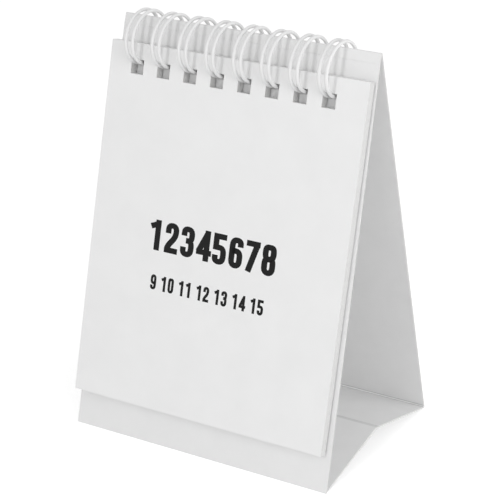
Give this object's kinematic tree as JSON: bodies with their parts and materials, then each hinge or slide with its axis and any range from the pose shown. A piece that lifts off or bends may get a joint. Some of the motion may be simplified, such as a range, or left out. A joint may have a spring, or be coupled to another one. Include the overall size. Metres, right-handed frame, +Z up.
{
  "type": "desk calendar",
  "caption": "Spiral-bound desk calendar: leaves on a white twin-loop wire, hung at the top of a folded card stand with a raised base.",
  "frame": {"origin": "on the table, under the middle of the whole calendar", "axes": "+Z up, -Y towards the reader (the side of the leaves), +X to the reader's right along the binding"},
  "size_m": [0.0808, 0.0596, 0.1158],
  "materials": {
    "white_card": "smooth uncoated",
    "coated_cover": "satin coated",
    "coated_paper": "matt coated",
    "white_nylon": "nylon-coated steel wire"
  },
  "bodies": {
    "front_panel": {"stand_front_panel": "white_card"},
    "ridge_strip": {"stand_ridge_strip": "white_card"},
    "back_panel": {"stand_back_panel": "white_card"},
    "base_front": {"stand_base_front": "white_card", "stand_glue_flap": "white_card"},
    "base_rear": {"stand_base_rear": "white_card"},
    "wire": {"binding_wire": "white_nylon"},
    "month_leaf_15": {"month_leaf_15": "coated_paper"},
    "month_leaf_14": {"month_leaf_14": "coated_paper"},
    "month_leaf_13": {"month_leaf_13": "coated_paper"},
    "month_leaf_12": {"month_leaf_12": "coated_paper"},
    "month_leaf_11": {"month_leaf_11": "coated_paper"},
    "month_leaf_10": {"month_leaf_10": "coated_paper"},
    "month_leaf_09": {"month_leaf_09": "coated_paper"},
    "month_leaf_08": {"month_leaf_08": "coated_paper"},
    "month_leaf_07": {"month_leaf_07": "coated_paper"},
    "month_leaf_06": {"month_leaf_06": "coated_paper"},
    "month_leaf_05": {"month_leaf_05": "coated_paper"},
    "month_leaf_04": {"month_leaf_04": "coated_paper"},
    "month_leaf_03": {"month_leaf_03": "coated_paper"},
    "month_leaf_02": {"month_leaf_02": "coated_paper"},
    "month_leaf_01": {"month_leaf_01": "coated_paper"},
    "cover_leaf": {"cover_leaf": "coated_cover"}
  },
  "joints": [
    {"name": "ridge_front_crease", "type": "hinge", "parent": "front_panel", "child": "ridge_strip", "pos_m": [0, -0.00208, 0.11085], "axis": [-1, 0, 0], "range_deg": [0, 50]},
    {"name": "ridge_rear_crease", "type": "hinge", "parent": "ridge_strip", "child": "back_panel", "pos_m": [0, -0.00134, 0.11313], "axis": [1, 0, 0], "range_deg": [0, 31.31]},
    {"name": "base_front_crease", "type": "hinge", "parent": "front_panel", "child": "base_front", "pos_m": [0, -0.02858, 0.00049], "axis": [1, 0, 0], "range_deg": [0, 29]},
    {"name": "base_middle_crease", "type": "hinge", "parent": "base_front", "child": "base_rear", "pos_m": [0, 0.00055, 0.00646], "axis": [-1, 0, 0], "range_deg": [0, 123]},
    {"name": "wire_turn", "type": "hinge", "parent": "front_panel", "child": "wire", "pos_m": [0, -0.00347, 0.1083], "axis": [1, 0, 0], "range_deg": [-3, 3]},
    {"name": "month_leaf_15_turn", "type": "hinge", "parent": "front_panel", "child": "month_leaf_15", "pos_m": [0, -0.00516, 0.10768], "axis": [-1, 0, 0], "range_deg": [0, 180]},
    {"name": "month_leaf_14_turn", "type": "hinge", "parent": "month_leaf_15", "child": "month_leaf_14", "pos_m": [0, -0.00516, 0.10768], "axis": [-1, 0, 0], "range_deg": [0, 180]},
    {"name": "month_leaf_13_turn", "type": "hinge", "parent": "month_leaf_14", "child": "month_leaf_13", "pos_m": [0, -0.00516, 0.10768], "axis": [-1, 0, 0], "range_deg": [0, 180]},
    {"name": "month_leaf_12_turn", "type": "hinge", "parent": "month_leaf_13", "child": "month_leaf_12", "pos_m": [0, -0.00516, 0.10768], "axis": [-1, 0, 0], "range_deg": [0, 180]},
    {"name": "month_leaf_11_turn", "type": "hinge", "parent": "month_leaf_12", "child": "month_leaf_11", "pos_m": [0, -0.00516, 0.10768], "axis": [-1, 0, 0], "range_deg": [0, 180]},
    {"name": "month_leaf_10_turn", "type": "hinge", "parent": "month_leaf_11", "child": "month_leaf_10", "pos_m": [0, -0.00516, 0.10768], "axis": [-1, 0, 0], "range_deg": [0, 180]},
    {"name": "month_leaf_09_turn", "type": "hinge", "parent": "month_leaf_10", "child": "month_leaf_09", "pos_m": [0, -0.00516, 0.10768], "axis": [-1, 0, 0], "range_deg": [0, 180]},
    {"name": "month_leaf_08_turn", "type": "hinge", "parent": "month_leaf_09", "child": "month_leaf_08", "pos_m": [0, -0.00516, 0.10768], "axis": [-1, 0, 0], "range_deg": [0, 180]},
    {"name": "month_leaf_07_turn", "type": "hinge", "parent": "month_leaf_08", "child": "month_leaf_07", "pos_m": [0, -0.00516, 0.10768], "axis": [-1, 0, 0], "range_deg": [0, 180]},
    {"name": "month_leaf_06_turn", "type": "hinge", "parent": "month_leaf_07", "child": "month_leaf_06", "pos_m": [0, -0.00516, 0.10768], "axis": [-1, 0, 0], "range_deg": [0, 180]},
    {"name": "month_leaf_05_turn", "type": "hinge", "parent": "month_leaf_06", "child": "month_leaf_05", "pos_m": [0, -0.00516, 0.10768], "axis": [-1, 0, 0], "range_deg": [0, 180]},
    {"name": "month_leaf_04_turn", "type": "hinge", "parent": "month_leaf_05", "child": "month_leaf_04", "pos_m": [0, -0.00516, 0.10768], "axis": [-1, 0, 0], "range_deg": [0, 180]},
    {"name": "month_leaf_03_turn", "type": "hinge", "parent": "month_leaf_04", "child": "month_leaf_03", "pos_m": [0, -0.00516, 0.10768], "axis": [-1, 0, 0], "range_deg": [0, 180]},
    {"name": "month_leaf_02_turn", "type": "hinge", "parent": "month_leaf_03", "child": "month_leaf_02", "pos_m": [0, -0.00516, 0.10768], "axis": [-1, 0, 0], "range_deg": [0, 180]},
    {"name": "month_leaf_01_turn", "type": "hinge", "parent": "month_leaf_02", "child": "month_leaf_01", "pos_m": [0, -0.00516, 0.10768], "axis": [-1, 0, 0], "range_deg": [0, 180]},
    {"name": "cover_leaf_turn", "type": "hinge", "parent": "month_leaf_01", "child": "cover_leaf", "pos_m": [0, -0.00516, 0.10768], "axis": [-1, 0, 0], "range_deg": [0, 180]}
  ],
  "couplings": [
    {"joint": "ridge_rear_crease", "follows": "ridge_front_crease", "ratio": 0.6262},
    {"joint": "base_front_crease", "follows": "ridge_front_crease", "ratio": 0.58},
    {"joint": "base_middle_crease", "follows": "ridge_front_crease", "ratio": 2.46}
  ]
}
